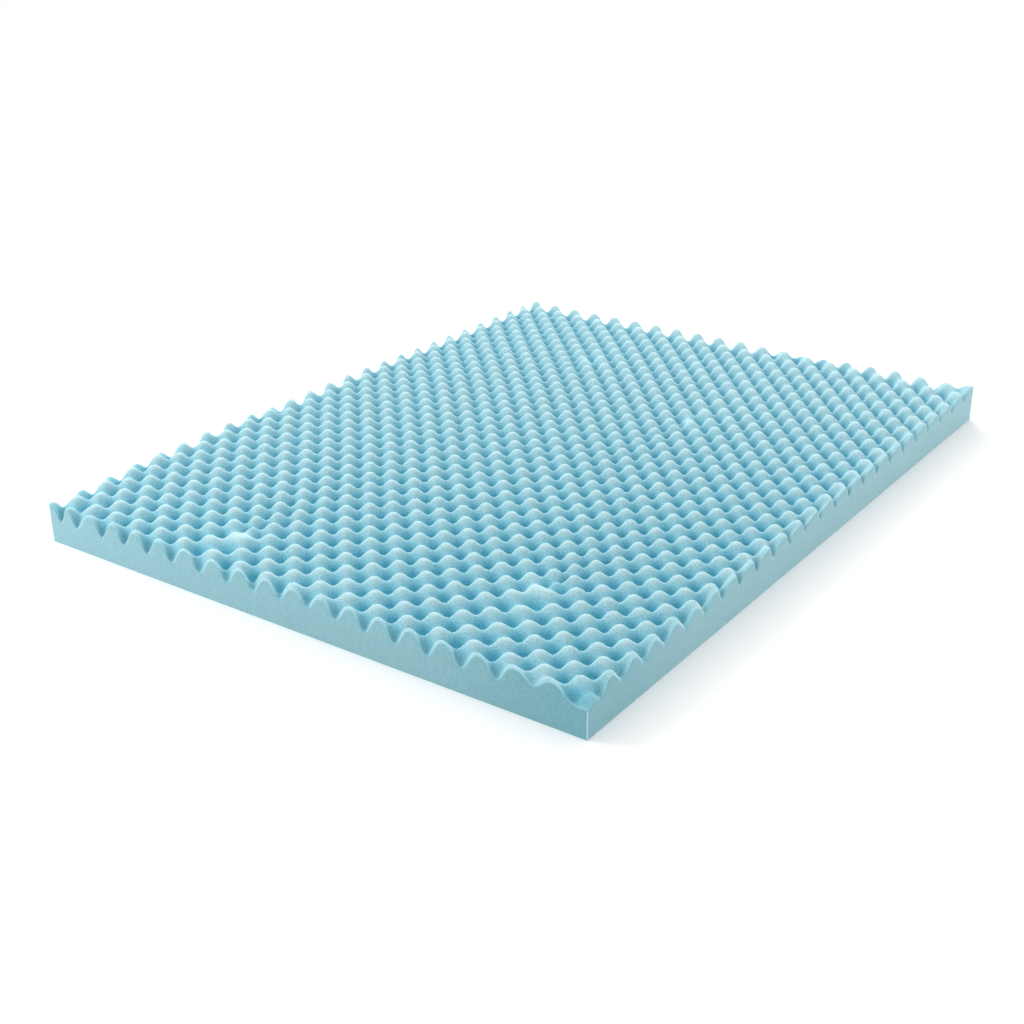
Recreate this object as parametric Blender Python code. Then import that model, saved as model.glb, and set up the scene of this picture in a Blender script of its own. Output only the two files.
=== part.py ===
"""Mattress topper: one slab of convoluted open-cell foam for a queen bed.

The slab is cut flat underneath and straight down on all four sides. Its top is
a field of round bumps and hollows, as a block of foam gets when it is pressed
between knobbed rollers and split along its middle. Two slanting ripples cross
to make the bumps. They run askew to the sides, and in four places a crest of
one or both ends inside the slab, where the foam slipped in the rollers. The
falling ripple is weaker towards the back. At the front and right-hand cuts only
the rising one is left, and at the left-hand cut most of the falling one has
gone too. The near right-hand corner is low.

Metres, +Z up. X runs across the bed and Y along it. The origin is the middle
of the flat underside.
"""

import math

import bmesh
import bpy
import numpy as np
from mathutils import Vector
from mathutils.geometry import delaunay_2d_cdt
from mathutils.kdtree import KDTree

for leftover in list(bpy.data.objects):
    bpy.data.objects.remove(leftover)

# ---------------------------------------------------------------- dimensions
WIDTH = 1.524
LENGTH = 2.032
THICKNESS = 0.100        # flat underside to the top of a bump
HOLLOW_DEPTH = 0.042     # top of a bump to the floor of a hollow
FULLNESS = 1.50          # above 1 the bumps are wider than the hollows
CUT_FULLNESS = 1.35      # the same at a cut side

BOW = 0.032              # how far the left-hand cut bows out
BOW_Y = -0.60            # where it bows out most

# Turns that each ripple makes for each metre across and along the slab, and
# for their powers and products, which spread and bend its crests.
RIPPLES = (
    # x power, y power, rising, falling
    (0, 0, -0.103, 0.409),
    (1, 0, 13.603, 11.175),
    (0, 1, 12.010, -10.964),
    (2, 0, 0.157, 0.242),
    (1, 1, 0.318, 1.331),
    (0, 2, -0.189, -0.642),
    (3, 0, -0.293, 0.328),
    (2, 1, 0.446, -0.317),
    (1, 2, -0.505, 0.871),
    (0, 3, -0.070, 0.145),
    (4, 0, -0.275, 0.136),
    (3, 1, -0.335, -1.498),
    (2, 2, 0.137, -0.527),
    (1, 3, -0.266, -0.185),
    (0, 4, 0.111, 0.483),
)
# Slips: where a crest of each ripple ends, and which way round.
SLIPS = (
    # x,     y,      rising, falling, how tightly the crests close up above and below it
    (0.45, -0.665, 1.0, 1.0, 3.0),
    (-0.278, -0.848, 1.0, 1.0, 2.4),
    (0.203, 0.322, 0.0, -1.0, 5.0),
    (-0.29, 0.60, 0.0, -1.0, 1.0),
)
# Places near the cut sides where the ripples are pushed on or held back.
NUDGES = (
    # x,     y,      radius, turns of rising, turns of falling
    (0.745, -1.030, 0.050, -0.34, 0.0),
    (-0.670, -1.016, 0.035, 0.20, 0.0),
    (-0.660, -1.016, 0.120, 0.0, -0.28),
    (0.160, -1.016, 0.120, 0.0, -0.10),
    (-0.760, 0.900, 0.200, -0.30, 0.0),
)
SLIP_RADIUS = 0.018      # a ripple fades out this near to its slip
CUT_FADE = 0.030         # the falling ripple fades out this near to a cut
RIDGES = 0.25            # share by which it is weaker at the back of the slab
RIDGES_FROM = -0.5       # y where it begins to weaken
RIDGES_FULL = 0.8        # and where it is weakest
LEFT_FADE = 0.016        # at the left-hand cut it fades this near to it
LEFT_FADING = 0.6        # by this share
FAR_REACH = 0.060        # the left and back cuts push the ripples on or back within this
LEFT_RISING = -0.10      # turns by which they do
BACK_RISING = -0.12
BACK_FALLING = 0.27

RIGHT_FILLED = 0.3       # share of the hollows filled at the right-hand cut
RIGHT_FADE = 0.050       # and how far in from it that reaches
RIGHT_LEAN = 0.85        # how far the slots in that cut lean towards the front
LEAN_FULLNESS = 1.0      # and how much narrower they are
LEAN_FROM = -0.60        # y where they begin to lean
LEAN_FULL = -0.40        # and where they lean fully
LOW_CORNER = 0.066       # height of the near right-hand corner, where no bump is
LOW_RADIUS = 0.042
# Other places where the hollows are partly filled.
SHALLOWS = (
    # x,     y,      radius, share filled
    (0.62, -1.016, 0.055, 0.5),
    (0.06, -1.016, 0.13, 0.25),
    (0.762, 1.016, 0.045, 1.0),
    (0.433, -0.710, 0.035, 0.6),
    (-0.260, -0.878, 0.040, 0.6),
)

EDGE_STEP = 0.0137       # spacing of the points along a cut side
EDGE_MARGIN = 0.011      # no bump's own point lies nearer to a cut side
SEED_STEP = 0.020        # spacing of the search for bumps and hollows
SEARCH_ROUNDS = 14
SEARCH_STRIDE = 0.8      # share of the remaining way that each round goes
MISS_ALLOWED = 0.02      # turns
SAME_POINT = 0.008       # two finds this near are the same bump or hollow
TINY = 1e-7
SHARP_ANGLE = math.radians(60.0)

FOAM_COLOUR = (0.36, 0.66, 0.74, 1.0)
FOAM_ROUGHNESS = 0.95


# ------------------------------------------------------------------- field
def ease(t):
    """A smooth rise from 0 to 1 while t goes from 0 to 1."""
    t = np.clip(t, 0.0, 1.0)
    return t * t * (3.0 - 2.0 * t)


def left_cut(y):
    """x of the left-hand cut, which bows out a little."""
    from_front = (y + LENGTH / 2.0) / (BOW_Y + LENGTH / 2.0)
    from_back = (LENGTH / 2.0 - y) / (LENGTH / 2.0 - BOW_Y)
    return -WIDTH / 2.0 - BOW * ease(np.minimum(from_front, from_back))


def right_share(x):
    """1 at the right-hand cut, falling to 0 a little way in."""
    return 1.0 - ease((WIDTH / 2.0 - x) / RIGHT_FADE)


def lean_share(x, y):
    """How far the slots in the right-hand cut are narrow and lean."""
    return right_share(x) * ease((y - LEAN_FROM) / (LEAN_FULL - LEAN_FROM))


def ripple_turns(x, y):
    """How many turns each ripple has made at a place."""
    rising = sum(turns * x**i * y**j for i, j, turns, _ in RIPPLES)
    falling = sum(turns * x**i * y**j for i, j, _, turns in RIPPLES)
    for slip_x, slip_y, slip_rising, slip_falling, tightness in SLIPS:
        around = np.arctan2(tightness * (x - slip_x), y - slip_y) / (2.0 * math.pi)
        rising = rising + slip_rising * around
        falling = falling + slip_falling * around
    for place_x, place_y, radius, more_rising, more_falling in NUDGES:
        share = np.exp(-(((x - place_x) ** 2 + (y - place_y) ** 2) / radius**2))
        rising = rising + more_rising * share
        falling = falling + more_falling * share
    left = np.exp(-(((x - left_cut(y)) / FAR_REACH) ** 2))
    back = np.exp(-(((LENGTH / 2.0 - y) / FAR_REACH) ** 2))
    rising = rising + LEFT_RISING * left + BACK_RISING * back
    falling = falling + BACK_FALLING * back
    lean = RIGHT_LEAN * lean_share(x, y)
    rising = rising - lean * np.cos(2.0 * math.pi * rising) / (2.0 * math.pi)
    return rising, falling


def top_height(x, y):
    """Height of the foam's upper face."""
    rising, falling = (np.cos(2.0 * math.pi * turns) for turns in ripple_turns(x, y))
    for slip_x, slip_y, slip_rising, slip_falling, _ in SLIPS:
        away = np.hypot(x - slip_x, y - slip_y)
        fade = away / np.hypot(away, SLIP_RADIUS)
        rising = rising * (fade if slip_rising else 1.0)
        falling = falling * (fade if slip_falling else 1.0)

    to_near_cut = np.minimum(WIDTH / 2.0 - x, y + LENGTH / 2.0)
    near = 1.0 - ease(to_near_cut / CUT_FADE)
    left = 1.0 - ease((x - left_cut(y)) / LEFT_FADE)
    cut = np.maximum(near, LEFT_FADING * left)
    ridges = RIDGES * ease((y - RIDGES_FROM) / (RIDGES_FULL - RIDGES_FROM))
    wave = rising + (falling - rising) * 0.5 * (1.0 - ridges) * (1.0 - cut)

    depth = HOLLOW_DEPTH * (1.0 - RIGHT_FILLED * right_share(x))
    for place_x, place_y, radius, filled in SHALLOWS:
        away = np.hypot(x - place_x, y - place_y)
        depth = depth * (1.0 - filled * np.exp(-((away / radius) ** 2)))
    fullness = FULLNESS + (CUT_FULLNESS - FULLNESS) * cut + LEAN_FULLNESS * lean_share(x, y)
    height = THICKNESS - depth * (0.5 * (1.0 - wave)) ** fullness
    from_corner = np.hypot(WIDTH / 2.0 - x, y + LENGTH / 2.0)
    return height + (LOW_CORNER - height) * np.exp(-((from_corner / LOW_RADIUS) ** 2))


# ------------------------------------------------------------------ points
def bump_points():
    """The tops, the hollows and the saddles between them, in plan."""
    across = np.arange(-WIDTH / 2.0 - BOW, WIDTH / 2.0, SEED_STEP)
    along = np.arange(-LENGTH / 2.0, LENGTH / 2.0, SEED_STEP)
    x, y = (grid.ravel() for grid in np.meshgrid(across, along))
    gradient = np.array([[row[2] for row in RIPPLES[1:3]], [row[3] for row in RIPPLES[1:3]]])
    step = SEARCH_STRIDE * np.linalg.inv(gradient)
    for _ in range(SEARCH_ROUNDS):
        turns = np.stack(ripple_turns(x, y))
        miss = turns - np.round(2.0 * turns) / 2.0
        move = step @ miss
        x, y = x - move[0], y - move[1]

    found = np.hypot(*miss) < MISS_ALLOWED
    found &= (x > left_cut(y) + EDGE_MARGIN) & (x < WIDTH / 2.0 - EDGE_MARGIN)
    found &= np.abs(y) < LENGTH / 2.0 - EDGE_MARGIN
    places = [Vector((*place, 0.0)) for place in zip(x[found], y[found])]
    near = KDTree(len(places))
    for k, place in enumerate(places):
        near.insert(place, k)
    near.balance()
    kept = []
    for k, place in enumerate(places):
        same = [hit[1] for hit in near.find_range(place, SAME_POINT)]
        if min(same) == k:
            kept.append(place.xy)
    return kept


def rim_points():
    """Points round the cut outline, and the numbers of those with a foot below.

    Only the corners have one on the straight sides. The left-hand side comes
    last and bows, so each of its points has one.
    """
    half = np.array((WIDTH, LENGTH)) / 2.0
    corners = [half * signs for signs in ((-1, -1), (1, -1), (1, 1), (-1, 1))]
    points = []
    footed = []
    for start, end in zip(corners, corners[1:] + corners[:1]):
        footed.append(len(points))
        count = round(np.abs(end - start).sum() / EDGE_STEP)
        points += [start + (end - start) * k / count for k in range(count)]
    footed += range(footed[-1] + 1, len(points))
    for k in footed[3:]:
        points[k] = (left_cut(points[k][1]), points[k][1])
    return [Vector(point) for point in points], footed


# -------------------------------------------------------------------- slab
def foam_slab():
    """The whole topper: wavy top, four cut sides, flat underside."""
    rim, footed = rim_points()
    around = range(len(rim))
    outline = [(k, (k + 1) % len(rim)) for k in around]
    cut = delaunay_2d_cdt(rim + bump_points(), outline, [list(around)], 1, TINY)
    places, triangles = cut[0], cut[2]

    model = bmesh.new()
    heights = top_height(*np.array(places).T)
    tops = [model.verts.new((p.x, p.y, z)) for p, z in zip(places, heights)]
    for triangle in triangles:
        model.faces.new([tops[k] for k in triangle])

    feet = {k: model.verts.new((*rim[k], 0.0)) for k in footed}
    model.faces.new(list(feet.values())[::-1])
    for start, end in zip(footed, footed[1:] + [len(rim)]):
        edge = [tops[k % len(rim)] for k in range(start, end + 1)]
        model.faces.new([feet[start], feet[end % len(rim)]] + edge[::-1])
    bmesh.ops.recalc_face_normals(model, faces=model.faces)

    mesh = bpy.data.meshes.new("foam_slab")
    model.to_mesh(mesh)
    model.free()
    mesh.shade_smooth()
    mesh.set_sharp_from_angle(angle=SHARP_ANGLE)
    slab = bpy.data.objects.new("foam_slab", mesh)
    bpy.context.scene.collection.objects.link(slab)
    return slab


def foam_material():
    """Pale blue open-cell foam: dull, without any gloss."""
    material = bpy.data.materials.new("blue_foam")
    material.use_nodes = True
    shader = material.node_tree.nodes["Principled BSDF"]
    shader.inputs["Base Color"].default_value = FOAM_COLOUR
    shader.inputs["Roughness"].default_value = FOAM_ROUGHNESS
    shader.inputs["Metallic"].default_value = 0.0
    return material


foam_slab().data.materials.append(foam_material())
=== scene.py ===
import math

import bmesh
import bpy
import numpy as np
from mathutils import Matrix, Vector, noise


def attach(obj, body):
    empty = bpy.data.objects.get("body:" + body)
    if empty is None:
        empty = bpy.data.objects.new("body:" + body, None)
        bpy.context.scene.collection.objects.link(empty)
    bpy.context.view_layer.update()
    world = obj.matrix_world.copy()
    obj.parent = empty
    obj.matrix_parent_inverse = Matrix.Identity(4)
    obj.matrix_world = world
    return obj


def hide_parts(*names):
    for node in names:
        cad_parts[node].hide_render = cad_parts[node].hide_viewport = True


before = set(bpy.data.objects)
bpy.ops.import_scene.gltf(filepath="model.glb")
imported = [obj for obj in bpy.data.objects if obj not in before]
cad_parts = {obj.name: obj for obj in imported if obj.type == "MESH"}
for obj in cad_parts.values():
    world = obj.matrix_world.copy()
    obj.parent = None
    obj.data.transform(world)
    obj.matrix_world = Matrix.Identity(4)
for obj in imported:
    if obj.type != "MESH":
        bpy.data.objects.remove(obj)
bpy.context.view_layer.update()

# ------------------------------------------------------------------ foam slab
# One slab of pale blue open-cell polyurethane foam. The block is pressed
# between knobbed rollers and split along its middle by a blade, which leaves
# round bumps and hollows on one face, and its four sides are sawn straight.
WIDTH = 1.524
LENGTH = 2.032
THICKNESS = 0.100        # flat underside to the top of a bump
HOLLOW_DEPTH = 0.042     # top of a bump to the floor of a hollow
FULLNESS = 1.50          # above 1 the bumps are wider than the hollows
CUT_FULLNESS = 1.35      # the same at a cut side

BOW = 0.032              # how far the left-hand cut bows out
BOW_Y = -0.60            # where it bows out most

# Turns that each of the two crossing ripples makes for each metre across and
# along the slab, and for their powers and products, which spread and bend them.
RIPPLES = (
    # x power, y power, rising, falling
    (0, 0, -0.103, 0.409),
    (1, 0, 13.603, 11.175),
    (0, 1, 12.010, -10.964),
    (2, 0, 0.157, 0.242),
    (1, 1, 0.318, 1.331),
    (0, 2, -0.189, -0.642),
    (3, 0, -0.293, 0.328),
    (2, 1, 0.446, -0.317),
    (1, 2, -0.505, 0.871),
    (0, 3, -0.070, 0.145),
    (4, 0, -0.275, 0.136),
    (3, 1, -0.335, -1.498),
    (2, 2, 0.137, -0.527),
    (1, 3, -0.266, -0.185),
    (0, 4, 0.111, 0.483),
)
# Slips: where a crest of each ripple ends, and which way round.
SLIPS = (
    # x,     y,      rising, falling, how tightly the crests close up above and below it
    (0.45, -0.665, 1.0, 1.0, 3.0),
    (-0.278, -0.848, 1.0, 1.0, 2.4),
    (0.203, 0.322, 0.0, -1.0, 5.0),
    (-0.29, 0.60, 0.0, -1.0, 1.0),
)
# Places near the cut sides where the ripples are pushed on or held back.
NUDGES = (
    # x,     y,      radius, turns of rising, turns of falling
    (0.745, -1.030, 0.050, -0.34, 0.0),
    (-0.670, -1.016, 0.035, 0.20, 0.0),
    (-0.660, -1.016, 0.120, 0.0, -0.28),
    (0.160, -1.016, 0.120, 0.0, -0.10),
    (-0.760, 0.900, 0.200, -0.30, 0.0),
)
SLIP_RADIUS = 0.018      # a ripple fades out this near to its slip
CUT_FADE = 0.030         # the falling ripple fades out this near to a cut
RIDGES = 0.25            # share by which it is weaker at the back of the slab
RIDGES_FROM = -0.5       # y where it begins to weaken
RIDGES_FULL = 0.8        # and where it is weakest
LEFT_FADE = 0.016        # at the left-hand cut it fades this near to it
LEFT_FADING = 0.6        # by this share
FAR_REACH = 0.060        # the left and back cuts push the ripples on or back within this
LEFT_RISING = -0.10      # turns by which they do
BACK_RISING = -0.12
BACK_FALLING = 0.27

RIGHT_FILLED = 0.3       # share of the hollows filled at the right-hand cut
RIGHT_FADE = 0.050       # and how far in from it that reaches
RIGHT_LEAN = 0.85        # how far the slots in that cut lean towards the front
LEAN_FULLNESS = 1.0      # and how much narrower they are
LEAN_FROM = -0.60        # y where they begin to lean
LEAN_FULL = -0.40        # and where they lean fully
LOW_CORNER = 0.066       # height of the near right-hand corner, where no bump is
LOW_RADIUS = 0.042
# Other places where the hollows are partly filled.
SHALLOWS = (
    # x,     y,      radius, share filled
    (0.62, -1.016, 0.055, 0.5),
    (0.06, -1.016, 0.13, 0.25),
    (0.762, 1.016, 0.045, 1.0),
    (0.433, -0.710, 0.035, 0.6),
    (-0.260, -0.878, 0.040, 0.6),
)

CELLS_ACROSS = 254
CELLS_ALONG = 339
WALL_CUTS = 5            # level cuts round the sawn sides
LUMP_SIZE = 0.045        # the foam springs back a little unevenly
LUMP_HEIGHT = 0.0016
RIM_ROUNDING = 0.0015
RIM_ANGLE = math.radians(50.0)           # an edge sharper than this is rounded
WALL_LEVELNESS = 0.05    # a face less level than this is a sawn side
TOP_LEVELNESS = 0.3      # one more level than this is the top or the underside
SAWN_LEVELNESS = 0.2     # and one less level than this has the sawn finish


def ease(t):
    """A smooth rise from 0 to 1 while t goes from 0 to 1."""
    t = np.clip(t, 0.0, 1.0)
    return t * t * (3.0 - 2.0 * t)


def left_cut(y):
    """x of the left-hand cut, which bows out a little."""
    from_front = (y + LENGTH / 2.0) / (BOW_Y + LENGTH / 2.0)
    from_back = (LENGTH / 2.0 - y) / (LENGTH / 2.0 - BOW_Y)
    return -WIDTH / 2.0 - BOW * ease(np.minimum(from_front, from_back))


def right_share(x):
    """1 at the right-hand cut, falling to 0 a little way in."""
    return 1.0 - ease((WIDTH / 2.0 - x) / RIGHT_FADE)


def lean_share(x, y):
    """How far the slots in the right-hand cut are narrow and lean."""
    return right_share(x) * ease((y - LEAN_FROM) / (LEAN_FULL - LEAN_FROM))


def ripple_turns(x, y):
    """How many turns each ripple has made at a place."""
    rising = sum(turns * x**i * y**j for i, j, turns, _ in RIPPLES)
    falling = sum(turns * x**i * y**j for i, j, _, turns in RIPPLES)
    for slip_x, slip_y, slip_rising, slip_falling, tightness in SLIPS:
        around = np.arctan2(tightness * (x - slip_x), y - slip_y) / (2.0 * math.pi)
        rising = rising + slip_rising * around
        falling = falling + slip_falling * around
    for place_x, place_y, radius, more_rising, more_falling in NUDGES:
        share = np.exp(-(((x - place_x) ** 2 + (y - place_y) ** 2) / radius**2))
        rising = rising + more_rising * share
        falling = falling + more_falling * share
    left = np.exp(-(((x - left_cut(y)) / FAR_REACH) ** 2))
    back = np.exp(-(((LENGTH / 2.0 - y) / FAR_REACH) ** 2))
    rising = rising + LEFT_RISING * left + BACK_RISING * back
    falling = falling + BACK_FALLING * back
    lean = RIGHT_LEAN * lean_share(x, y)
    rising = rising - lean * np.cos(2.0 * math.pi * rising) / (2.0 * math.pi)
    return rising, falling


def top_height(x, y):
    """Height of the foam's upper face."""
    rising, falling = (np.cos(2.0 * math.pi * turns) for turns in ripple_turns(x, y))
    for slip_x, slip_y, slip_rising, slip_falling, _ in SLIPS:
        away = np.hypot(x - slip_x, y - slip_y)
        fade = away / np.hypot(away, SLIP_RADIUS)
        rising = rising * (fade if slip_rising else 1.0)
        falling = falling * (fade if slip_falling else 1.0)

    to_near_cut = np.minimum(WIDTH / 2.0 - x, y + LENGTH / 2.0)
    near = 1.0 - ease(to_near_cut / CUT_FADE)
    left = 1.0 - ease((x - left_cut(y)) / LEFT_FADE)
    cut = np.maximum(near, LEFT_FADING * left)
    ridges = RIDGES * ease((y - RIDGES_FROM) / (RIDGES_FULL - RIDGES_FROM))
    wave = rising + (falling - rising) * 0.5 * (1.0 - ridges) * (1.0 - cut)

    depth = HOLLOW_DEPTH * (1.0 - RIGHT_FILLED * right_share(x))
    for place_x, place_y, radius, filled in SHALLOWS:
        away = np.hypot(x - place_x, y - place_y)
        depth = depth * (1.0 - filled * np.exp(-((away / radius) ** 2)))
    fullness = FULLNESS + (CUT_FULLNESS - FULLNESS) * cut + LEAN_FULLNESS * lean_share(x, y)
    height = THICKNESS - depth * (0.5 * (1.0 - wave)) ** fullness
    from_corner = np.hypot(WIDTH / 2.0 - x, y + LENGTH / 2.0)
    return height + (LOW_CORNER - height) * np.exp(-((from_corner / LOW_RADIUS) ** 2))


def levelness(face):
    """0 for an upright face, 1 for a level one."""
    return abs(face.normal.z)


def new_object(name, model):
    """An object in the scene that has the finished model as its mesh."""
    mesh = bpy.data.meshes.new(name)
    model.to_mesh(mesh)
    model.free()
    made = bpy.data.objects.new(name, mesh)
    bpy.context.scene.collection.objects.link(made)
    return made


slab = bmesh.new()
bmesh.ops.create_grid(slab, x_segments=CELLS_ACROSS, y_segments=CELLS_ALONG, size=0.5,
                      matrix=Matrix.Diagonal((WIDTH, LENGTH, 1.0, 1.0)))
plan = np.array([vert.co.xy for vert in slab.verts])
plan[:, 0] += (left_cut(plan[:, 1]) + WIDTH / 2.0) * (0.5 - plan[:, 0] / WIDTH)
for vert, place, height in zip(slab.verts, plan, top_height(*plan.T)):
    lump = LUMP_HEIGHT * noise.noise(Vector((*place, 0.0)) / LUMP_SIZE)
    vert.co = (*place, height + lump)

rim = [edge for edge in slab.edges if edge.is_boundary]
grown = bmesh.ops.extrude_edge_only(slab, edges=rim)["geom"]
feet = [vert for vert in grown if isinstance(vert, bmesh.types.BMVert)]
for foot in feet:
    foot.co.z = 0.0
uprights = [edge for foot in feet for edge in foot.link_edges
            if edge.other_vert(foot).co.z > 0.0]
bmesh.ops.holes_fill(slab, edges=[edge for edge in slab.edges if edge.is_boundary])
bmesh.ops.subdivide_edges(slab, edges=uprights, cuts=WALL_CUTS)
bmesh.ops.recalc_face_normals(slab, faces=slab.faces)

sharp = [edge for edge in slab.edges if edge.calc_face_angle(0.0) > RIM_ANGLE]
rims = [edge for edge in sharp
        if min(map(levelness, edge.link_faces)) < WALL_LEVELNESS
        and max(map(levelness, edge.link_faces)) > TOP_LEVELNESS]
corners = [edge for edge in sharp if max(map(levelness, edge.link_faces)) < WALL_LEVELNESS]
bmesh.ops.bevel(slab, geom=rims + corners, offset=RIM_ROUNDING, segments=2, profile=0.5,
                affect="EDGES", material=-1, clamp_overlap=True)
for face in slab.faces:
    face.material_index = 1 if levelness(face) < SAWN_LEVELNESS else 0
    face.smooth = True
foam = new_object("convoluted_foam", slab)

GRAIN_DETAIL = 2.0       # finer layers within each grain


class Wire:
    """An output socket in a material; sums written with it add Math nodes."""

    def __init__(self, tree, socket=None):
        self.tree = tree
        self.socket = socket

    def node(self, kind, settings, sockets, output=0):
        """Add a node: first its settings, then the values or links of its sockets."""
        made = self.tree.nodes.new(kind)
        for name, value in settings.items():
            if name == "stops":
                while len(made.color_ramp.elements) < len(value):
                    made.color_ramp.elements.new(0.5)
                for stop, (position, colour) in zip(made.color_ramp.elements, value):
                    stop.position = position
                    stop.color = colour
            else:
                setattr(made, name, value)
        for name, value in sockets.items():
            if isinstance(value, Wire):
                self.tree.links.new(value.socket, made.inputs[name])
            else:
                made.inputs[name].default_value = value
        return Wire(self.tree, made.outputs[output])

    def maths(self, operation, first, second):
        return self.node("ShaderNodeMath", {"operation": operation}, {0: first, 1: second})

    def __add__(self, other):
        return self.maths("ADD", self, other)

    def __sub__(self, other):
        return self.maths("SUBTRACT", self, other)

    def __rsub__(self, other):
        return self.maths("SUBTRACT", other, self)

    def __mul__(self, other):
        return self.maths("MULTIPLY", self, other)

    __radd__ = __add__
    __rmul__ = __mul__

    def axes(self, letters):
        """The coordinates of a place along some axes."""
        return [self.node("ShaderNodeSeparateXYZ", {}, {"Vector": self}, axis) for axis in letters]

    def ramp(self, low, high, shape="LINEAR"):
        """0 where the value is low, rising to 1 where it is high."""
        return self.node("ShaderNodeMapRange", {"interpolation_type": shape},
                         {"Value": self, "From Min": low, "From Max": high})

    def grain(self, scale):
        """Noise round 0.5, with so many grains to the metre."""
        return self.node("ShaderNodeTexNoise", {},
                         {"Vector": self, "Scale": scale, "Detail": GRAIN_DETAIL})

    def blend(self, factor, first, second):
        """The first colour where the factor is 0, the second where it is 1."""
        return self.node("ShaderNodeMix", {"data_type": "RGBA"},
                         {0: factor, 6: first, 7: second}, 2)

    def lighten(self, amount):
        """A colour made lighter or darker by an amount round 1."""
        return self.node("ShaderNodeVectorMath", {"operation": "SCALE"},
                         {"Vector": self, "Scale": amount})

    def tint(self, other):
        """One colour times another."""
        return self.node("ShaderNodeVectorMath", {"operation": "MULTIPLY"}, {0: self, 1: other})

    def feed(self, socket):
        """Link this to a socket of the shader."""
        self.tree.links.new(self.socket, socket)


def new_finish(owner, name, constants):
    """A fresh material on an object: a wire to start from, and its shader's sockets."""
    material = bpy.data.materials.new(name)
    material.use_nodes = True
    sockets = material.node_tree.nodes["Principled BSDF"].inputs
    for socket, value in constants.items():
        sockets[socket].default_value = value
    owner.data.materials.append(material)
    return Wire(material.node_tree), sockets


# The hollow and slope blues are the crest blue darkened by painted shade in the hollows.
SHADED_HOLLOW_BLUE = (0.105, 0.415, 0.545, 1.0)
SHADED_SLOPE_BLUE = (0.22, 0.50, 0.60, 1.0)
CREST_BLUE = (0.36, 0.55, 0.59, 1.0)
TOP_BLUES_SHADED_IN_HOLLOWS = ((0.0, SHADED_HOLLOW_BLUE), (0.45, SHADED_SLOPE_BLUE), (1.0, CREST_BLUE))
# Painted light: a paler, flatter blue where light comes in through the near cut sides.
CUT_LIT_BLUE = (0.22, 0.44, 0.50, 1.0)
CUT_BLUE = (0.24, 0.43, 0.48, 1.0)
CUT_SHADE = (0.15, 0.33, 0.38, 1.0)
# Painted highlight on the near upright corner edge.
PAINTED_EDGE_HIGHLIGHT = (0.42, 0.62, 0.67, 1.0)
NO_TINT = (1.0, 1.0, 1.0, 1.0)
# Painted shade on the sawn sides near the near right-hand corner.
CORNER_PAINTED_SHADE = (0.70, 0.86, 0.88, 1.0)
FOAM_SHADER = {
    "Roughness": 0.95,
    "Specular IOR Level": 0.15,
    "Sheen Weight": 1.0,
    "Sheen Roughness": 0.45,
    "Sheen Tint": (0.70, 0.95, 1.0, 1.0),
    "Subsurface Weight": 0.5,
    "Subsurface Radius": (0.5, 0.9, 1.0),
    "Subsurface Scale": 0.012,
}
GRAIN_RELIEF = 0.0015    # depth of the open cells

# The pressed top: painted shade makes it deep blue in the hollows and pale on the bumps, and
# painted light, as if coming in through the cut sides, makes its tone flatter along the two near
# cuts.
DEEP_LEVEL = 0.070       # heights where the darkest painted shade in the hollows ends
CREST_LEVEL = 0.098      # and the palest begins
TOP_CELLS = 320.0        # open cells to the metre
MOTTLES = 60.0           # and larger uneven patches
MOTTLE_RELIEF = 0.5      # how far the patches stand up beside the cells
TOP_RELIEF = 0.35        # how plainly both are felt
SPREAD = 0.1             # how far they shift the tone
CELL_CONTRAST = 0.8      # and how far the cells lighten and darken the colour
FADED_FROM = -1.0        # the painted shade in the hollows fades towards the far left: y less x where that begins
FADED_FULL = 0.7         # and where it is full
HOLLOW_SHADE_FADE = 0.35       # by how much of the tone it does
HOLLOW_SHADE_DARKENING = 0.1   # and by how much the painted shade in the hollows is darker at the near right
RIGHT_LIT_BAND = 0.045       # width of the bands along the near cuts where light coming in through the cut sides is painted
FRONT_LIT_BAND = 0.035
CUT_LIGHT_SHARE = 0.75        # and how strongly that painted light is laid on

# The sawn sides: plainer, speckled by the open cells, with painted shade darkening them towards
# the near right-hand corner and a painted highlight on its upright edge.
CUT_CELLS = 400.0        # open cells to the metre
STREAKS = 90.0           # marks of the saw
STREAK_SQUASH = 0.12     # which run up and down
CELL_SPREAD = 2.8        # how far the cells shift the tone
STREAK_SPREAD = 0.3      # and how far the marks do
CUT_TONE = 0.7           # the tone between them, from shade 0 to light 1
CUT_RELIEF = 0.5
NEAR_CORNER = (WIDTH / 2.0, -LENGTH / 2.0, THICKNESS / 2.0)
CORNER_SHADE_REACH = 0.45      # painted shade darkens the sides towards that corner from here
HIGHLIGHT_FROM = 0.0025       # and a painted highlight on its upright edge starts here
HIGHLIGHT_FULL = 0.0010       # to here

wire, shader = new_finish(foam, "rolled_foam", FOAM_SHADER)
place = wire.node("ShaderNodeTexCoord", {}, {}, "Object")
across, along, height = place.axes("XYZ")
rise = height.ramp(DEEP_LEVEL, CREST_LEVEL)
cells = place.grain(TOP_CELLS)
mottle = place.grain(MOTTLES)
faded = (along - across).ramp(FADED_FROM, FADED_FULL, "SMOOTHSTEP")
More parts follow.
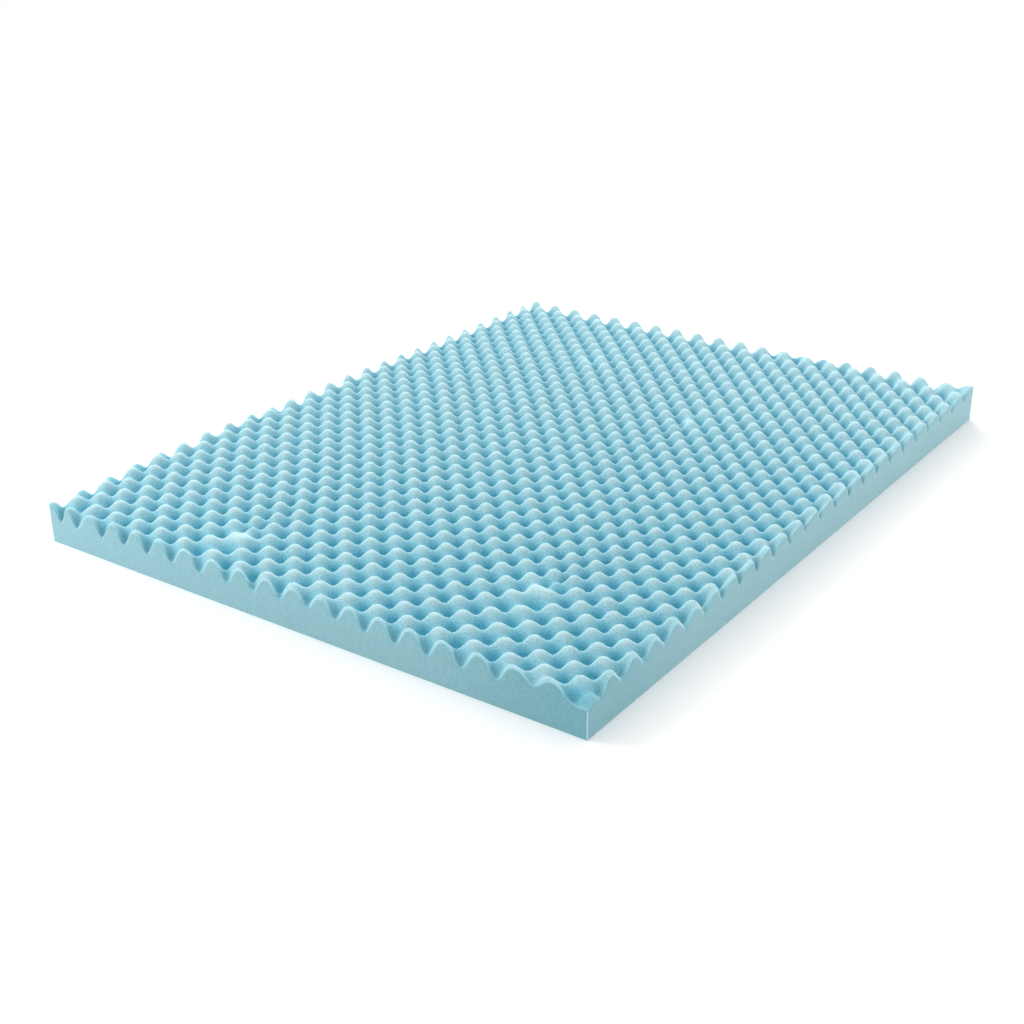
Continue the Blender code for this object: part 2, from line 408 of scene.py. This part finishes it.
# Painted shade: the tone, and with it the blue, darkens down into the hollows.
tone = (rise + (faded * HOLLOW_SHADE_FADE - HOLLOW_SHADE_DARKENING) * (1.0 - rise)
        + (cells - 0.5) * SPREAD + (mottle - 0.5) * SPREAD)
colour = wire.node("ShaderNodeValToRGB", {"stops": TOP_BLUES_SHADED_IN_HOLLOWS}, {"Fac": tone}, "Color")
right = across.ramp(WIDTH / 2.0 - RIGHT_LIT_BAND, WIDTH / 2.0, "SMOOTHSTEP")
front = along.ramp(FRONT_LIT_BAND - LENGTH / 2.0, -LENGTH / 2.0, "SMOOTHSTEP")
# Painted light along the two near cuts, paling the hollows there.
colour = wire.blend(wire.maths("MAXIMUM", right, front) * CUT_LIGHT_SHARE, colour, CUT_LIT_BLUE)
colour.lighten((cells - 0.5) * CELL_CONTRAST + 1.0).feed(shader["Base Color"])
wire.node("ShaderNodeBump", {}, {
    "Strength": TOP_RELIEF, "Distance": GRAIN_RELIEF, "Height": cells + MOTTLE_RELIEF * mottle,
}, "Normal").feed(shader["Normal"])

wire, shader = new_finish(foam, "sawn_foam", FOAM_SHADER)
place = wire.node("ShaderNodeTexCoord", {}, {}, "Object")
across, along = place.axes("XY")
cells = place.grain(CUT_CELLS)
squashed = wire.node("ShaderNodeMapping", {},
                     {"Vector": place, "Scale": (1.0, 1.0, STREAK_SQUASH)})
streaks = squashed.grain(STREAKS)
speckle = (cells - 0.5) * CELL_SPREAD + (streaks - 0.5) * STREAK_SPREAD + CUT_TONE
colour = wire.blend(wire.node("ShaderNodeClamp", {}, {"Value": speckle}), CUT_SHADE, CUT_BLUE)
away = wire.node("ShaderNodeVectorMath", {"operation": "DISTANCE"},
                 {0: place, 1: NEAR_CORNER}, "Value")
# Painted shade: the sides darken towards the near corner.
colour = colour.tint(wire.blend(away.ramp(CORNER_SHADE_REACH, 0.0, "SMOOTHSTEP"), NO_TINT, CORNER_PAINTED_SHADE))
right = across.ramp(WIDTH / 2.0 - HIGHLIGHT_FROM, WIDTH / 2.0 - HIGHLIGHT_FULL)
front = along.ramp(HIGHLIGHT_FROM - LENGTH / 2.0, HIGHLIGHT_FULL - LENGTH / 2.0)
# Painted highlight along the near upright edge.
wire.blend(right * front, colour, PAINTED_EDGE_HIGHLIGHT).feed(shader["Base Color"])
wire.node("ShaderNodeBump", {}, {
    "Strength": CUT_RELIEF, "Distance": GRAIN_RELIEF, "Height": cells,
}, "Normal").feed(shader["Normal"])

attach(foam, "root")
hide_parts("foam_slab")

# ---------------------------------------------------- floor, light and camera
# A plain white studio floor that runs far past the slab, a soft window at the
# left in front and a larger one at the left behind, an even white sky, and the
# camera at a standing person's height off the near right-hand corner.
FLOOR_REACH = 30.0
PAPER = {"Base Color": (0.95, 0.95, 0.95, 1.0), "Roughness": 0.9}
SKY = {"Color": (1.0, 1.0, 1.0, 1.0), "Strength": 1.05}
WINDOWS = (
    # name,    place,             side, watts
    ("window", (-2.6, -2.2, 1.9), 1.6, 46.0),
    ("behind", (-3.0, 5.0, 2.5), 3.0, 180.0),
)
FOCAL_LENGTH = 52.7      # mm
SENSOR_WIDTH = 36.0
CAMERA_PLACE = (2.0272, -3.0275, 1.5543)
CAMERA_TURN = (65.478, 0.368, 35.323)    # degrees

stage = bmesh.new()
bmesh.ops.create_grid(stage, x_segments=1, y_segments=1, size=FLOOR_REACH)
floor = new_object("studio_floor", stage)
new_finish(floor, "white_paper", PAPER)

world = bpy.data.worlds.new("studio")
world.use_nodes = True
for name, value in SKY.items():
    world.node_tree.nodes["Background"].inputs[name].default_value = value
bpy.context.scene.world = world

for name, spot, side, watts in WINDOWS:
    lamp = bpy.data.lights.new(name, "AREA")
    lamp.size = side
    lamp.energy = watts
    light = bpy.data.objects.new(name, lamp)
    light.location = spot
    light.rotation_euler = (-Vector(spot)).to_track_quat("-Z", "Y").to_euler()
    bpy.context.scene.collection.objects.link(light)

lens = bpy.data.cameras.new("camera")
lens.lens = FOCAL_LENGTH
lens.sensor_width = SENSOR_WIDTH
camera = bpy.data.objects.new("camera", lens)
camera.location = CAMERA_PLACE
camera.rotation_euler = [math.radians(turn) for turn in CAMERA_TURN]
bpy.context.scene.collection.objects.link(camera)
bpy.context.scene.camera = camera
bpy.context.scene.view_settings.view_transform = "Standard"
